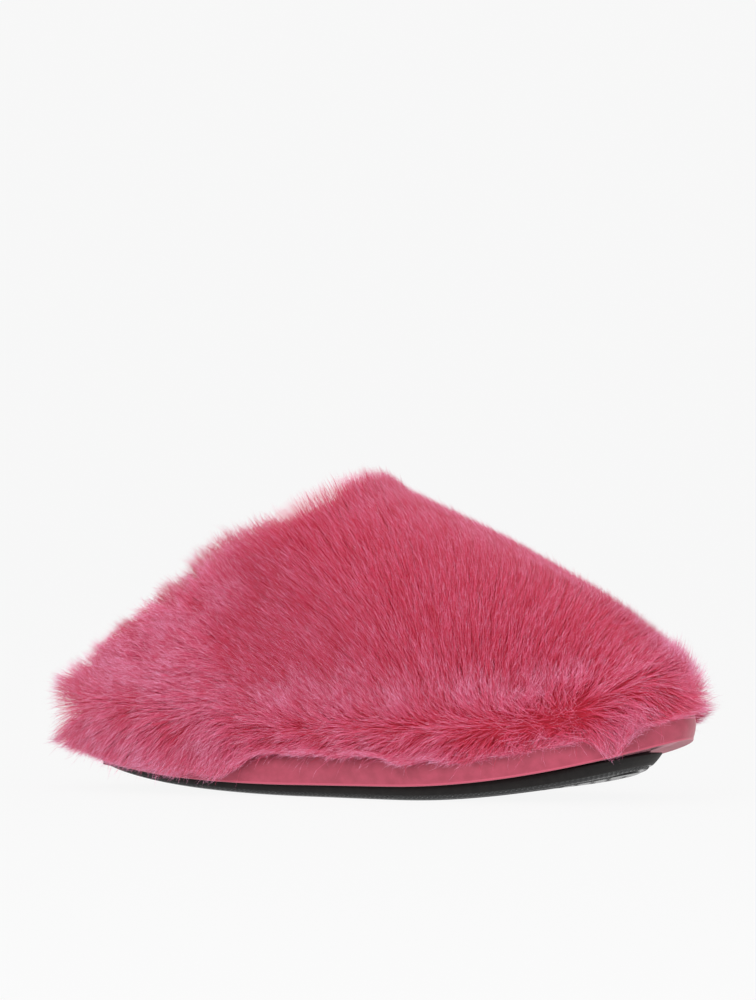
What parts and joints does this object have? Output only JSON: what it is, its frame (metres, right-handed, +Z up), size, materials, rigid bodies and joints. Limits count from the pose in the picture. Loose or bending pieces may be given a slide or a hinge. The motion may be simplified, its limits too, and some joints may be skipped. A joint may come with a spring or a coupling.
{
  "type": "fluffy house slipper",
  "caption": "Low-back house slipper: pink long-pile plush upper and footbed on a wrapped foam platform with a thin bowed rubber sole.",
  "frame": {"origin": "centre of the bounding box in plan, on the flat middle of the sole", "axes": "+X towards the toe, +Y towards the inner (medial) side of the foot, +Z up"},
  "size_m": [0.2876, 0.124, 0.1312],
  "materials": {
    "sole_black": "matt, fine grain",
    "tread_black": "glossy, zigzag lugs",
    "platform_foam": "closed-cell foam",
    "wrap_pink": "smooth suede-like fabric",
    "board_tan": "pressed fibre",
    "pad_foam": "soft open-cell foam",
    "footbed_pink": "short-pile plush",
    "plush_pink": "long-pile plush",
    "lining_pink": "short brushed fleece",
    "puff_white": "stiffened felt"
  },
  "bodies": {
    "root": {"outsole": "sole_black", "tread": "tread_black", "platform_core": "platform_foam", "platform_wrap": "wrap_pink", "insole_board": "board_tan", "footbed_pad": "pad_foam", "footbed_plush": "footbed_pink", "vamp_plush": "plush_pink", "outer_quarter_plush": "plush_pink", "inner_quarter_plush": "plush_pink", "collar_plush": "plush_pink", "vamp_foam": "pad_foam", "outer_quarter_foam": "pad_foam", "inner_quarter_foam": "pad_foam", "vamp_lining": "lining_pink", "outer_quarter_lining": "lining_pink", "inner_quarter_lining": "lining_pink", "toe_puff": "puff_white"}
  },
  "joints": []
}
